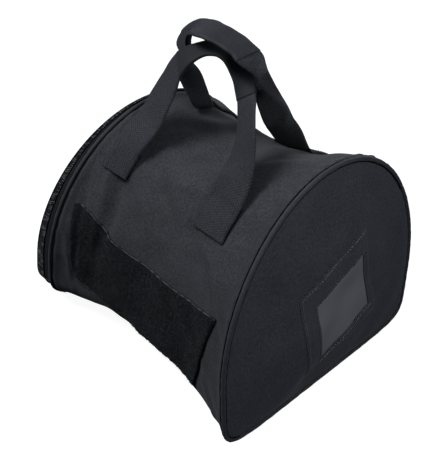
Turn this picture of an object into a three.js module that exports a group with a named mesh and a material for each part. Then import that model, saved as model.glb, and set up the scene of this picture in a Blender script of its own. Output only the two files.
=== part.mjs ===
// Soft helmet carry bag: a waisted cloth sleeve with two D-shaped ends, one of them a zipped door,
// two webbing carry handles, a loop-pile panel on the front and an ID pocket on the right end.
// Millimetres, +Z up, origin on the floor under the middle of the bag's box.
// X runs along the bag towards the ID pocket, -Y is the front.
import * as THREE from 'three';

// Driving sizes of the cloth body
const END = { width: 250, height: 218, widestAt: 62, topPower: 2, footPower: 7.5 };
const RIGHT_RIM = { x: 143, leanDeg: 1.7, side: 1 };
const LEFT_RIM = { x: 123, leanDeg: 12.7, side: -1 };
const DOOR_RIM = { x: 152.6, leanDeg: 16.5, side: -1 };
const WALL = 2;
const GAP = 0.35;
const WAIST = { centreZ: 95, power: 2.2, front: 26, back: 20, top: 14, bottom: 12 };
const PIPING = { radius: 2, sides: 8, flat: 0.5 };
const FLOOR_LIFT = PIPING.radius - PIPING.flat;

// Soft dents in the sleeve, or swellings where less than none: place along it, angle round it,
// depth and the reach each way
const DENTS = [
  { along: 0.2, deg: 160, depth: 3.5, alongReach: 0.05, degReach: 30 },
  { along: 0.5, deg: 100, depth: 3, alongReach: 0.16, degReach: 16 },
  { along: 0.9, deg: 118, depth: 2.5, alongReach: 0.06, degReach: 18 },
  { along: 0.91, deg: 55, depth: -5.5, alongReach: 0.08, degReach: 30 },
];

// End cloths: how far they swell outwards, how far their edge is drawn in, and their place along the bag
const RIGHT_CLOTH = { swell: 10, inset: PIPING.radius + GAP, axial: 0 };
const DOOR_CLOTH = { swell: 7, inset: 3, axial: 1.5 };

// Zip round the door, as shares of the way from the left rim to the door's edge
const ZIP_ENDS_DEG = { front: 192, back: -12 };
const ZIP_BANDS = {
  zip_tape_body: { from: 0.16, to: 0.58, thick: 1.4 },
  zip_coil: { from: 0.6, to: 0.92, thick: 2.4 },
  zip_tape_door: { from: 0.935, to: 1, thick: 1.4 },
};
const GUSSET = { from: 0.1, to: 1, thick: 1.6, marginDeg: 1.2 };
const SLIDER = { deg: 0, share: 0.76, thick: 2.5, lift: 0.5 };
const SLIDER_SHAPE = { head: 10, headLength: 12, tab: 5.5, tabLength: 24, arcSteps: 6 };

// Webbing handles: sewn rows lie on the sleeve at an angle round it, free rows stand in the air.
// The twist turns the strap from lying flat on the cloth to lying flat in the hand.
// Creased rows give the strap's two edges and the crease between them. A width below none turns
// a sewn row over.
const STRAP = { width: 38, thick: 2.4, lift: 1.7 };
const SLEEVE_WRAP = { thick: 0.9, clear: 0.35 };
const FRONT_HANDLE = {
  leanDeg: 30,
  sewnLeft: [{ x: -53, deg: 132.5 }, { x: -51.5, deg: 127.5 }, { x: -49.5, deg: 122.5 }],
  free: [
    { x: -47, y: -53.5, z: 199, width: 38, twist: 3 },
    { x: -41, y: -42, z: 211.5, width: 38, twist: 9 },
    { x: -38, y: -33, z: 227, width: 38, twist: 12 },
    { x: -34, y: -24, z: 242.5, width: 37, twist: 15 },
    { x: -25, y: -19, z: 261, width: 31, twist: 16 },
    { x: -11, y: -15, z: 273.5, width: 23, twist: 24 },
    { x: 1, y: -5.5, z: 279, width: 23, twist: 42 },
    { x: 22, y: -4, z: 278.5, width: 21, twist: 60 },
    { x: 36, y: -3, z: 264.5, width: 19, twist: 52 },
    { x: 48.5, y: -11, z: 251.5, width: 19, twist: 2 },
    { x: 60, y: -22.5, z: 241, width: 27, twist: -22 },
    { x: 69, y: -33, z: 229, width: 36, twist: -27 },
    { x: 74, y: -41, z: 215.5, width: 38, twist: -20 },
    { x: 76.5, y: -51, z: 202, width: 38, twist: -8 },
  ],
  sewnRight: [{ x: 74.5, deg: 123.5 }, { x: 73, deg: 129.5 }, { x: 72.8, deg: 135.5 }],
  sleeve: { from: 7, to: 12 },
};
const BACK_HANDLE = {
  leanDeg: -22,
  sewnLeft: [
    { x: -60.5, deg: 46, width: -28 },
    { x: -60.5, deg: 52, width: -28 },
    { x: -60.5, deg: 58, width: -28 },
    { x: -60, deg: 64, width: -28 },
  ],
  free: [
    { inner: [-67, 29, 212.5], crease: [-58.5, 37, 207.5], outer: [-50, 44, 201] },
    { inner: [-36.5, 7, 211.5], crease: [-37.5, 20, 208], outer: [-38, 33, 204] },
    { inner: [-46.1, 2, 231.1], crease: [-47, 17, 226.8], outer: [-47.8, 32, 222.5] },
    { inner: [-50.8, 0, 244.7], crease: [-51.2, 14, 241], outer: [-51.6, 28, 237.3] },
    { x: -53, y: 12, z: 257, width: 34, twist: 18 },
    { x: -49.5, y: 12, z: 267, width: 29, twist: 28 },
    { x: -37.5, y: 7, z: 280.5, width: 24, twist: 66 },
    { x: -13, y: -4.5, z: 293, width: 24, twist: 96 },
    { x: 9, y: -9, z: 295, width: 25, twist: 100 },
    { x: 23, y: -7, z: 292, width: 24, twist: 102 },
    { x: 36.5, y: -6, z: 287.5, width: 24, twist: 102 },
    { x: 47.5, y: -5.5, z: 281, width: 24, twist: 96 },
    { inner: [54.6, -6.8, 268], crease: [55.6, -6.2, 268.6], outer: [61.2, 0, 274.1] },
    { inner: [51, 1.5, 255], crease: [59.4, -4, 261.6], outer: [61.6, 6, 264.5] },
    { inner: [48.5, 2, 243], crease: [61.3, 4, 253.4], outer: [59.3, 15, 253.1] },
    { inner: [48, 11.5, 222.1], crease: [66.5, 17.5, 238], outer: [60.3, 26.5, 235.1] },
    { inner: [43.4, 22, 211.2], crease: [62.8, 22, 216.8], outer: [78.6, 25, 220.3] },
  ],
  sewnRight: [{ x: 63.5, deg: 71 }, { x: 65, deg: 64 }, { x: 67, deg: 57 }, { x: 69, deg: 50 }],
  sleeve: { from: 9, to: 15 },
};
const STEPS_PER_ROW = 4;

// Loop-pile panel on the front: its upper and lower edge, as places along the bag and heights
const LOOP_PANEL = {
  thick: 2.2,
  lift: 1.5,
  top: [[-81.5, 137], [-59, 129], [-48, 115.5], [-4, 105], [41, 103.5], [73.5, 106], [115, 115.5]],
  foot: [[-85, 56], [-67, 45], [-53, 40], [-9, 33], [34, 29.5], [61, 28.5], [93, 29.5]],
  columns: 16,
  rows: 7,
};

// ID pocket on the right end: corners across (u) and up (v) the end cloth
const POCKET = {
  thick: 1.6,
  lift: 0.6,
  frame: { topLeft: [-47, 116], topRight: [35, 152], bottomRight: [65, 49], bottomLeft: [-33, 27] },
  window: { topLeft: [-25, 99], topRight: [34, 124], bottomRight: [50, 62], bottomLeft: [-15, 38] },
  sideSteps: 5,
};
const PANE = { thick: 0.9, lift: 0.8, clear: 0.5, steps: 4 };

// Mesh fineness
const RING_POINTS = 48;
const BODY_SECTIONS = 15;
const CLOTH_RINGS = 5;
const BAND_STEPS = 40;

const radians = THREE.MathUtils.degToRad;
const lerp = THREE.MathUtils.lerp;
const signedPower = (value, power) => Math.sign(value) * Math.abs(value) ** power;

// D-shaped outline: u across and v up, at angle t from the back, drawn in by an inset
function outline(t, inset = 0) {
  const up = Math.sin(t);
  const power = 2 / (up >= 0 ? END.topPower : END.footPower);
  const rise = up >= 0 ? END.height - END.widestAt - inset : END.widestAt - inset;
  return {
    u: (END.width / 2 - inset) * signedPower(Math.cos(t), power),
    v: END.widestAt + rise * signedPower(up, power),
  };
}

// Unit vectors of an end's leaning plane
function rimAxes(rim) {
  const lean = radians(rim.leanDeg);
  return {
    up: new THREE.Vector3(-rim.side * Math.sin(lean), 0, Math.cos(lean)),
    out: new THREE.Vector3(rim.side * Math.cos(lean), 0, Math.sin(lean)),
  };
}

// Point u across and v up an end's plane, moved outwards along its normal
function planePoint(rim, u, v, outwards = 0) {
  const { up, out } = rimAxes(rim);
  return new THREE.Vector3(rim.side * rim.x, u, FLOOR_LIFT)
    .addScaledVector(up, v)
    .addScaledVector(out, outwards);
}

function rimPoint(rim, t, inset = 0) {
  const { u, v } = outline(t, inset);
  return planePoint(rim, u, v);
}

// How far the sleeve is drawn in at a place along it, in the direction (cy, cz) from its middle
function waistDepth(along, t, cy, cz) {
  const across = cy < 0 ? WAIST.front : WAIST.back;
  const upright = cz < 0 ? WAIST.bottom : WAIST.top;
  const middle = 1 - Math.abs(2 * along - 1) ** WAIST.power;
  let depth = (cy * cy * across + cz * cz * upright) * middle;
  for (const dent of DENTS) {
    const a = (along - dent.along) / dent.alongReach;
    const d = (THREE.MathUtils.radToDeg(t) - dent.deg) / dent.degReach;
    depth += dent.depth * Math.exp(-a * a - d * d);
  }
  return depth;
}

// Sleeve surface: along runs 0 to 1 from the left rim to the right one, t goes round from the back
function bodyPoint(along, t, inset = 0) {
  const point = rimPoint(LEFT_RIM, t, inset).lerp(rimPoint(RIGHT_RIM, t, inset), along);
  const dy = point.y;
  const dz = point.z - WAIST.centreZ - FLOOR_LIFT;
  const reach = Math.hypot(dy, dz);
  const depth = waistDepth(along, t, dy / reach, dz / reach);
  point.y -= (depth * dy) / reach;
  point.z -= (depth * dz) / reach;
  return point;
}

function bodyNormal(along, t) {
  const step = 1e-3;
  const lengthways = bodyPoint(along + step, t).sub(bodyPoint(along - step, t));
  const round = bodyPoint(along, t + step).sub(bodyPoint(along, t - step));
  return round.cross(lengthways).normalize();
}

// Share of the way along the sleeve at which it passes x, at angle t
function alongAt(x, t) {
  const left = rimPoint(LEFT_RIM, t).x;
  const right = rimPoint(RIGHT_RIM, t).x;
  return (x - left) / (right - left);
}

// Angle on the front at which the sleeve passes height z, found by halving
function frontAngleAt(x, z) {
  let high = radians(100);
  let low = radians(250);
  for (let i = 0; i < 40; i += 1) {
    const middle = (high + low) / 2;
    if (bodyPoint(alongAt(x, middle), middle).z > z) high = middle;
    else low = middle;
  }
  return (high + low) / 2;
}

function frontPoint(x, z, lift) {
  const t = frontAngleAt(x, z);
  const along = alongAt(x, t);
  return bodyPoint(along, t).addScaledVector(bodyNormal(along, t), lift);
}

// Swelling of an end cloth, full at the middle and none at the rim, at a share of the way out
const swellAt = (cloth, share) => cloth.swell * (1 - share ** 2);

// Share of the way from the middle of an end to its rim, at u across and v up
function shareOut(u, v, inset) {
  const middle = END.widestAt;
  let reach = 0;
  for (let i = 0; i < 20; i += 1) {
    const guess = 2 ** -(i + 1);
    const width = (END.width / 2 - inset) * (reach + guess);
    const rise = (v >= middle ? END.height - middle - inset : middle - inset) * (reach + guess);
    const power = v >= middle ? END.topPower : END.footPower;
    const inside = Math.abs(u / width) ** power + Math.abs((v - middle) / rise) ** power;
    if (inside > 1) reach += guess;
  }
  return reach;
}

// Surface of the right end cloth at u across and v up, lifted off it
function rightClothPoint(u, v, lift) {
  const swell = swellAt(RIGHT_CLOTH, shareOut(u, v, RIGHT_CLOTH.inset));
  return planePoint(RIGHT_RIM, u, v, RIGHT_CLOTH.axial + swell + lift);
}

// Mesh of points and four-sided faces, each split into two triangles
class Skin {
  constructor() {
    this.positions = [];
    this.indices = [];
  }

  add(point) {
    this.positions.push(point.x, point.y, point.z);
    return this.positions.length / 3 - 1;
  }

  triangle(a, b, c) {
    this.indices.push(a, b, c);
  }

  // Four-sided face, split along its shorter diagonal
  quad(a, b, c, d) {
    if (this.distance(a, c) <= this.distance(b, d)) {
      this.triangle(a, b, c);
      this.triangle(a, c, d);
    } else {
      this.triangle(a, b, d);
      this.triangle(b, c, d);
    }
  }

  distance(a, b) {
    const [from, to] = [a, b].map((index) => new THREE.Vector3().fromArray(this.positions, 3 * index));
    return from.distanceTo(to);
  }

  geometry() {
    const geometry = new THREE.BufferGeometry();
    geometry.setAttribute('position', new THREE.Float32BufferAttribute(this.positions, 3));
    geometry.setIndex(this.indices);
    geometry.computeVertexNormals();
    return geometry;
  }
}

// Closed loops of points joined into a tube; the loops' ends are filled, or the tube closes on itself
function loft(loops, closed) {
  const skin = new Skin();
  const rows = loops.map((loop) => loop.map((point) => skin.add(point)));
  const count = rows[0].length;
  const last = closed ? rows.length : rows.length - 1;
  for (let i = 0; i < last; i += 1) {
    const here = rows[i];
    const next = rows[(i + 1) % rows.length];
    for (let j = 0; j < count; j += 1) {
      const k = (j + 1) % count;
      skin.quad(here[j], here[k], next[k], next[j]);
    }
  }
  if (!closed) {
    const tail = rows[rows.length - 1];
    for (let j = 1; j < count - 1; j += 1) {
      skin.triangle(rows[0][0], rows[0][j + 1], rows[0][j]);
      skin.triangle(tail[0], tail[j], tail[j + 1]);
    }
  }
  return skin.geometry();
}

// Two like grids of points, an outer and an inner face, closed along their four edges
function sheet(outer, inner) {
  const skin = new Skin();
  const face = outer.map((row) => row.map((point) => skin.add(point)));
  const back = inner.map((row) => row.map((point) => skin.add(point)));
  const rows = face.length;
  const columns = face[0].length;
  for (let i = 0; i < rows - 1; i += 1) {
    for (let j = 0; j < columns - 1; j += 1) {
      skin.quad(face[i][j], face[i][j + 1], face[i + 1][j + 1], face[i + 1][j]);
      skin.quad(back[i][j], back[i + 1][j], back[i + 1][j + 1], back[i][j + 1]);
    }
    const end = columns - 1;
    skin.quad(face[i][0], face[i + 1][0], back[i + 1][0], back[i][0]);
    skin.quad(face[i][end], back[i][end], back[i + 1][end], face[i + 1][end]);
  }
  for (let j = 0; j < columns - 1; j += 1) {
    const end = rows - 1;
    skin.quad(face[0][j], back[0][j], back[0][j + 1], face[0][j + 1]);
    skin.quad(face[end][j], face[end][j + 1], back[end][j + 1], back[end][j]);
  }
  return skin.geometry();
}

const steps = (count) => Array.from({ length: count + 1 }, (_, i) => i / count);
const ringAngles = Array.from({ length: RING_POINTS }, (_, i) => (i / RING_POINTS) * 2 * Math.PI);

// The waisted sleeve between the two piped rims, open at both ends
function bodyShell() {
  const top = Math.PI / 2;
  const margin = (PIPING.radius + GAP) / (rimPoint(RIGHT_RIM, top).x - rimPoint(LEFT_RIM, top).x);
  const places = steps(BODY_SECTIONS - 1).map((share) => lerp(margin, 1 - margin, share));
  const loops = ringAngles.map((t) => [
    ...places.map((along) => bodyPoint(along, t)),
    ...places.toReversed().map((along) => bodyPoint(along, t, WALL)),
  ]);
  return loft(loops.toReversed(), true);
}

// A cord of piping round a rim, pressed flat where it stands on the floor
function pipingRing(rim) {
  const { out } = rimAxes(rim);
  const loops = ringAngles.map((t) => {
    const centre = rimPoint(rim, t);
    const outwards = centre.clone().sub(rimPoint(rim, t, 1)).normalize();
    return steps(PIPING.sides - 1).map((_, i) => {
      const turn = ((i + 0.5) / PIPING.sides) * 2 * Math.PI;
      const point = centre.clone()
        .addScaledVector(outwards, PIPING.radius * Math.cos(turn))
        .addScaledVector(out, -rim.side * PIPING.radius * Math.sin(turn));
      point.z = Math.max(point.z, 0);
      return point;
    });
  });
  return loft(loops, true);
}

// A swelling end cloth: rings of points from the middle out to the rim, on both faces
function endCloth(rim, cloth) {
  const skin = new Skin();
  const shares = steps(CLOTH_RINGS).slice(1);
  const point = (t, share, depth) => {
    const { u, v } = outline(t, cloth.inset);
    const outwards = cloth.axial + swellAt(cloth, share) - depth;
    return planePoint(rim, u * share, lerp(END.widestAt, v, share), outwards);
  };
  const faces = [0, WALL].map((depth) => ({
    middle: skin.add(point(0, 0, depth)),
    rings: shares.map((share) => ringAngles.map((t) => skin.add(point(t, share, depth)))),
  }));
  const turned = (a, b, c, d, flip) => (flip ? skin.quad(d, c, b, a) : skin.quad(a, b, c, d));
  faces.forEach(({ middle, rings }, side) => {
    const flip = (side === 1) !== (rim.side < 0);
    for (let j = 0; j < RING_POINTS; j += 1) {
      const k = (j + 1) % RING_POINTS;
      if (flip) skin.triangle(middle, rings[0][k], rings[0][j]);
      else skin.triangle(middle, rings[0][j], rings[0][k]);
      for (let i = 0; i < rings.length - 1; i += 1) {
        turned(rings[i][j], rings[i + 1][j], rings[i + 1][k], rings[i][k], flip);
      }
    }
  });
  const [front, back] = faces.map(({ rings }) => rings[rings.length - 1]);
  for (let j = 0; j < RING_POINTS; j += 1) {
    const k = (j + 1) % RING_POINTS;
    turned(front[j], back[j], back[k], front[k], rim.side < 0);
  }
  return skin.geometry();
}

// Point on the zip's band: share of the way from the left rim to the door's edge
function zipPoint(share, t, inset) {
  return rimPoint(LEFT_RIM, t, inset).lerp(rimPoint(DOOR_RIM, t, inset), share);
}

// A strip of the zip's band between two shares, over a stretch of angles
function zipStrip({ from, to, thick }, angles) {
  const shares = [to, from];
  const face = (inset) => shares.map((share) => angles.map((t) => zipPoint(share, t, inset)));
  return sheet(face(0), face(thick));
}

const zipAngles = steps(BAND_STEPS)
  .map((share) => radians(lerp(ZIP_ENDS_DEG.back, ZIP_ENDS_DEG.front, share)));

function gussetAngles() {
  const first = ZIP_ENDS_DEG.front + GUSSET.marginDeg;
  const last = ZIP_ENDS_DEG.back - GUSSET.marginDeg + 360;
  return steps(BAND_STEPS / 2).map((share) => radians(lerp(first, last, share)));
}

// The zip's slider with its pull tab, one plain piece lying on the coil
function zipSlider() {
  const half = SLIDER_SHAPE.head / 2;
  const tab = SLIDER_SHAPE.tab / 2;
  const top = SLIDER_SHAPE.headLength / 2;
  const end = -top - SLIDER_SHAPE.tabLength;
  const shape = new THREE.Shape();
  shape.moveTo(-half, top);
  shape.lineTo(-half, -top);
  shape.lineTo(-tab, -top - tab);
  shape.lineTo(-tab, end + tab);
  shape.absarc(0, end + tab, tab, Math.PI, 2 * Math.PI, false);
  shape.lineTo(tab, -top - tab);
  shape.lineTo(half, -top);
  shape.lineTo(half, top);
  shape.closePath();
  const options = { depth: SLIDER.thick, bevelEnabled: false, curveSegments: SLIDER_SHAPE.arcSteps };
  const geometry = new THREE.ExtrudeGeometry(shape, options);
  const t = radians(SLIDER.deg);
  const step = 1e-3;
  const across = zipPoint(1, t, 0).sub(zipPoint(0, t, 0)).normalize();
  const tangent = zipPoint(SLIDER.share, t + step, 0).sub(zipPoint(SLIDER.share, t - step, 0)).normalize();
  const out = across.clone().cross(tangent).normalize();
  const upright = out.clone().cross(across);
  const place = zipPoint(SLIDER.share, t, 0).addScaledVector(out, SLIDER.lift);
  const frame = new THREE.Matrix4().makeBasis(across, upright, out).setPosition(place);
  geometry.applyMatrix4(frame);
  return geometry;
}

// Rows of a handle: the strap's two edges and the line midway, where it may be creased
function handleRows(handle) {
  const lean = radians(handle.leanDeg);
  const front = new THREE.Vector3(0, -Math.cos(lean), Math.sin(lean));
  const point = (place) => new THREE.Vector3().fromArray(place);
  const sewn = ({ x, deg, width = STRAP.width }) => {
    const t = radians(deg);
    const along = alongAt(x, t);
    const normal = bodyNormal(along, t);
    const middle = bodyPoint(along, t).addScaledVector(normal, STRAP.lift + STRAP.thick / 2);
    return { middle, face: handle.leanDeg > 0 ? normal : normal.negate(), wide: width, twist: 0 };
  };
  const free = ({ x, y, z, width, twist }) => ({ middle: point([x, y, z]), face: front, wide: width, twist });
  const creased = ({ inner, crease, outer }) => (
    { inner: point(inner), middle: point(crease), outer: point(outer) }
  );
  const rows = [
    ...handle.sewnLeft.map(sewn),
    ...handle.free.map((row) => (row.crease ? creased(row) : free(row))),
    ...handle.sewnRight.map(sewn),
  ];
  const curve = new THREE.CatmullRomCurve3(rows.map((row) => row.middle));
  return rows.map((row, i) => {
    if (row.inner) return row;
    const tangent = curve.getTangent(i / (rows.length - 1));
    const across = row.face.clone().cross(tangent).normalize();
    const face = tangent.clone().cross(across);
    const twist = radians(row.twist);
    const half = across.multiplyScalar(Math.cos(twist)).addScaledVector(face, -Math.sin(twist))
      .multiplyScalar(row.wide / 2);
    return { inner: row.middle.clone().sub(half), middle: row.middle, outer: row.middle.clone().add(half) };
  });
}

// Strap sections between two rows of a handle: edges, middle and the way along the strap
function strapFrames(handle, from, to) {
  const rows = handleRows(handle);
  const [inner, middle, outer] = ['inner', 'middle', 'outer']
    .map((line) => new THREE.CatmullRomCurve3(rows.map((row) => row[line])));
  return steps((to - from) * STEPS_PER_ROW).map((share) => {
    const place = lerp(from, to, share) / (rows.length - 1);
    return {
      inner: inner.getPoint(place),
      middle: middle.getPoint(place),
      outer: outer.getPoint(place),
      tangent: middle.getTangent(place),
    };
  });
}

// The six corners of a strap section in turn, grown by a margin all round
function strapCorners({ inner, middle, outer, tangent }, margin = 0) {
  const toInner = inner.clone().sub(middle).normalize();
  const toOuter = outer.clone().sub(middle).normalize();
  const innerFace = toInner.clone().cross(tangent).normalize();
  const outerFace = tangent.clone().cross(toOuter).normalize();
  const middleFace = innerFace.clone().add(outerFace).normalize();
  const corner = (point, face, through) => point.clone()
    .addScaledVector(face, through * (STRAP.thick / 2 + margin));
  const innerEdge = inner.clone().addScaledVector(toInner, margin);
  const outerEdge = outer.clone().addScaledVector(toOuter, margin);
  return [
    corner(middle, middleFace, -1), corner(outerEdge, outerFace, -1), corner(outerEdge, outerFace, 1),
    corner(middle, middleFace, 1), corner(innerEdge, innerFace, 1), corner(innerEdge, innerFace, -1),
  ];
}

function handleStrap(handle) {
  const frames = strapFrames(handle, 0, handleRows(handle).length - 1);
  return loft(frames.map((frame) => strapCorners(frame)), false);
}

// A cloth wrap round the grip, clear of the strap inside it
function handleSleeve(handle) {
  const frames = strapFrames(handle, handle.sleeve.from, handle.sleeve.to);
  const outside = frames.map((frame) => strapCorners(frame, SLEEVE_WRAP.clear + SLEEVE_WRAP.thick));
  const inside = frames.map((frame) => strapCorners(frame, SLEEVE_WRAP.clear));
  const loops = outside[0].map((_, corner) => [
    ...outside.map((section) => section[corner]),
    ...inside.toReversed().map((section) => section[corner]),
  ]);
  return loft(loops.toReversed(), true);
}

// Place on an edge of the panel at a share of the way along it
function panelEdge(edge, across) {
  const x = lerp(edge[0][0], edge[edge.length - 1][0], across);
  const after = Math.max(1, edge.findIndex(([end]) => end >= x - 1e-9));
  const [from, to] = [edge[after - 1], edge[after]];
  return { x, z: lerp(from[1], to[1], (x - from[0]) / (to[0] - from[0])) };
}

// The loop-pile panel, laid over the front of the sleeve
function loopPanel() {
  const downwards = steps(LOOP_PANEL.rows).toReversed();
  const grid = (lift) => downwards.map((down) => steps(LOOP_PANEL.columns).map((across) => {
    const top = panelEdge(LOOP_PANEL.top, across);
    const foot = panelEdge(LOOP_PANEL.foot, across);
    return frontPoint(lerp(top.x, foot.x, down), lerp(top.z, foot.z, down), lift);
  }));
  return sheet(grid(LOOP_PANEL.lift + LOOP_PANEL.thick), grid(LOOP_PANEL.lift));
}

// Point inside a four-cornered patch of the right end cloth
function patchPoint({ topLeft, topRight, bottomRight, bottomLeft }, across, down) {
  const blend = (axis) => lerp(
    lerp(topLeft[axis], topRight[axis], across),
    lerp(bottomLeft[axis], bottomRight[axis], across),
    down,
  );
  return { u: blend(0), v: blend(1) };
}

// The pocket's cloth border round its window
function pocketFrame() {
  const edge = steps(POCKET.sideSteps).slice(0, -1);
  const walk = [
    ...edge.map((share) => [share, 0]),
    ...edge.map((share) => [1, share]),
    ...edge.map((share) => [1 - share, 1]),
    ...edge.map((share) => [0, 1 - share]),
  ];
  const loops = walk.map(([across, down]) => {
    const outer = patchPoint(POCKET.frame, across, down);
    const inner = patchPoint(POCKET.window, across, down);
    const top = POCKET.lift + POCKET.thick;
    return [
      rightClothPoint(outer.u, outer.v, top),
      rightClothPoint(inner.u, inner.v, top),
      rightClothPoint(inner.u, inner.v, POCKET.lift),
      rightClothPoint(outer.u, outer.v, POCKET.lift),
    ];
  });
  return loft(loops, true);
}

// The clear pane, set inside the border
function windowPane() {
  const { topLeft, topRight } = POCKET.window;
  const margin = PANE.clear / Math.hypot(topRight[0] - topLeft[0], topRight[1] - topLeft[1]);
  const shares = steps(PANE.steps).map((share) => lerp(margin, 1 - margin, share));
  const grid = (lift) => shares.toReversed().map((down) => shares.map((across) => {
    const { u, v } = patchPoint(POCKET.window, across, down);
    return rightClothPoint(u, v, lift);
  }));
  return sheet(grid(PANE.lift + PANE.thick), grid(PANE.lift));
}

// Finishes seen in the photograph
const FINISH = {
  bodyCloth: { color: 0x2b2d32, roughness: 0.85 },
  endCloth: { color: 0x24272e, roughness: 0.85 },
  piping: { color: 0x1f2126, roughness: 0.75 },
  webbing: { color: 0x27292e, roughness: 0.8 },
  wrap: { color: 0x22252b, roughness: 0.8 },
  loopPile: { color: 0x141518, roughness: 1 },
  zipTape: { color: 0x17181b, roughness: 0.8 },
  zipCoil: { color: 0x2c2d30, roughness: 0.45 },
  sliderMetal: { color: 0x1b1c1e, roughness: 0.4, metalness: 0.8 },
  pocketCloth: { color: 0x23262c, roughness: 0.85 },
  pane: { color: 0x4a4d52, roughness: 0.5 },
};

const bag = new THREE.Group();

function place(name, geometry, finish) {
  const mesh = new THREE.Mesh(geometry, new THREE.MeshStandardMaterial({ metalness: 0, ...finish }));
  mesh.name = name;
  bag.add(mesh);
}

place('body_shell', bodyShell(), FINISH.bodyCloth);
place('end_panel_right', endCloth(RIGHT_RIM, RIGHT_CLOTH), FINISH.endCloth);
place('end_panel_left', endCloth(DOOR_RIM, DOOR_CLOTH), FINISH.endCloth);
place('piping_right', pipingRing(RIGHT_RIM), FINISH.piping);
place('piping_left', pipingRing(LEFT_RIM), FINISH.piping);
for (const [name, band] of Object.entries(ZIP_BANDS)) {
  place(name, zipStrip(band, zipAngles), name === 'zip_coil' ? FINISH.zipCoil : FINISH.zipTape);
}
place('zip_gusset', zipStrip(GUSSET, gussetAngles()), FINISH.bodyCloth);
place('zip_slider', zipSlider(), FINISH.sliderMetal);
place('handle_front', handleStrap(FRONT_HANDLE), FINISH.webbing);
place('handle_back', handleStrap(BACK_HANDLE), FINISH.webbing);
place('handle_front_sleeve', handleSleeve(FRONT_HANDLE), FINISH.wrap);
place('handle_back_sleeve', handleSleeve(BACK_HANDLE), FINISH.wrap);
place('loop_panel', loopPanel(), FINISH.loopPile);
place('id_pocket_frame', pocketFrame(), FINISH.pocketCloth);
place('id_window', windowPane(), FINISH.pane);

export default bag;
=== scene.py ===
import bpy
import numpy as np
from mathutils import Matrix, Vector


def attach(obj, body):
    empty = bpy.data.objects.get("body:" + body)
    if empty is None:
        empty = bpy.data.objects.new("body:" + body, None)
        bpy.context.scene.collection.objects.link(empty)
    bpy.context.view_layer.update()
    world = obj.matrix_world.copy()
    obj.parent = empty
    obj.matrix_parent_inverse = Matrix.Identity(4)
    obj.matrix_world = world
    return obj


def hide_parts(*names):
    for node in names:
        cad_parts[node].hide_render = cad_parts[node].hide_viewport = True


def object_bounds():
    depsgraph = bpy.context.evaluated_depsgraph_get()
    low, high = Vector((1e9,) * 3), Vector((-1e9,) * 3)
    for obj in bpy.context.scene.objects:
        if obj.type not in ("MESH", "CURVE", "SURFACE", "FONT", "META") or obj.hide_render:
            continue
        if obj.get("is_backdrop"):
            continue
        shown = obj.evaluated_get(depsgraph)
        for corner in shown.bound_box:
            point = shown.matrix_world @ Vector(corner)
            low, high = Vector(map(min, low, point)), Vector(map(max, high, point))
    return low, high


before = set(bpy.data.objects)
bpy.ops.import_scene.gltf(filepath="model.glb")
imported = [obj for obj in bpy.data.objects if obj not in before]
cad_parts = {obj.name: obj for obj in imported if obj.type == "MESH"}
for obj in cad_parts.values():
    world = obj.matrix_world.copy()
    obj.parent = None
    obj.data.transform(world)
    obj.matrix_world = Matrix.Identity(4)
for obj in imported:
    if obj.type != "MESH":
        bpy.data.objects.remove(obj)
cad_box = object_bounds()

MM = 0.001
TAU = 2 * np.pi

# Driving sizes as in the solids, but for the rounder foot of the zipped end
END_WIDTH, END_HEIGHT, WIDEST_AT = 250.0, 218.0, 62.0
TOP_POWER, FOOT_POWER, ZIPPED_FOOT_POWER = 2.0, 7.5, 4.6
RIGHT_RIM = {"x": 143.0, "lean": 1.7, "side": 1, "foot": FOOT_POWER}
LEFT_RIM = {"x": 123.0, "lean": 12.7, "side": -1, "foot": ZIPPED_FOOT_POWER}
DOOR_RIM = {"x": 152.6, "lean": 16.5, "side": -1, "foot": ZIPPED_FOOT_POWER}
ZIP_SEAM_RIM = {"x": 137.4, "lean": 14.55, "side": -1, "foot": ZIPPED_FOOT_POWER}
WALL = 2.0
WAIST = {"centre": 95.0, "power": 2.2, "front": 26.0, "back": 20.0, "top": 14.0, "bottom": 12.0}
PIPING_RADIUS, PIPING_RIPPLES, FLOOR_LIFT = 2.0, [(0.08, 9, 8, 21)], 1.5
# Radius and lowest height of the painted shade lines beside the cords
GROOVE_SHADE_RADIUS, GROOVE_SHADE_FLOOR = 0.5, 0.05
RIGHT_CLOTH = {"swell": 10.0, "inset": 2.35, "axial": 0.0}
DOOR_CLOTH = {"swell": 7.0, "inset": 3.0, "axial": 1.5}
ZIP_FRONT_DEG, ZIP_BACK_DEG, GUSSET_GAP_DEG = 192.0, -12.0, 1.2
STRAP_WIDTH, STRAP_THICK = 38.0, 2.4

# Soft dents of the sleeve, swellings if below none: place along it, angle round it, depth, reach each way
DENTS = [
    (0.2, 160, 3.5, 0.05, 30), (0.5, 100, 3, 0.16, 16), (0.9, 118, 2.5, 0.06, 18), (0.91, 55, -5.5, 0.08, 30),
]

# Handles: sewn rows are (x, angle round the sleeve), free rows are (x, y, z, width, twist),
# and creased rows are three points: inner edge, crease and outer edge.
# A sewn width below none turns the strap over, and the grip's wrap runs between two rows.
FRONT_HANDLE = {
    "lean": 30,
    "sewn_left": [(-51.5, 132.5), (-50.5, 127.5), (-49, 122.5)],
    "sewn_width": (28, 41),
    "free": [
        (-47, -53.5, 199, 38, 3), (-41, -42, 211.5, 38, 9), (-38, -33, 227, 38, 12),
        (-34, -24, 242.5, 37, 15), (-25, -19, 261, 31, 16), (-11, -15, 273.5, 23, 24),
        (1, -5.5, 279, 23, 42), (22, -4, 278.5, 21, 60), (36, -3, 264.5, 19, 52),
        (48.5, -11, 251.5, 19, 2), (60, -22.5, 241, 27, -22), (69, -33, 229, 36, -27),
        (74, -41, 215.5, 38, -20), (76.5, -51, 202, 38, -8),
    ],
    "sewn_right": [(74.5, 123.5), (73, 129.5), (72.8, 135.5)],
    "grip": (7, 12),
}
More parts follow.
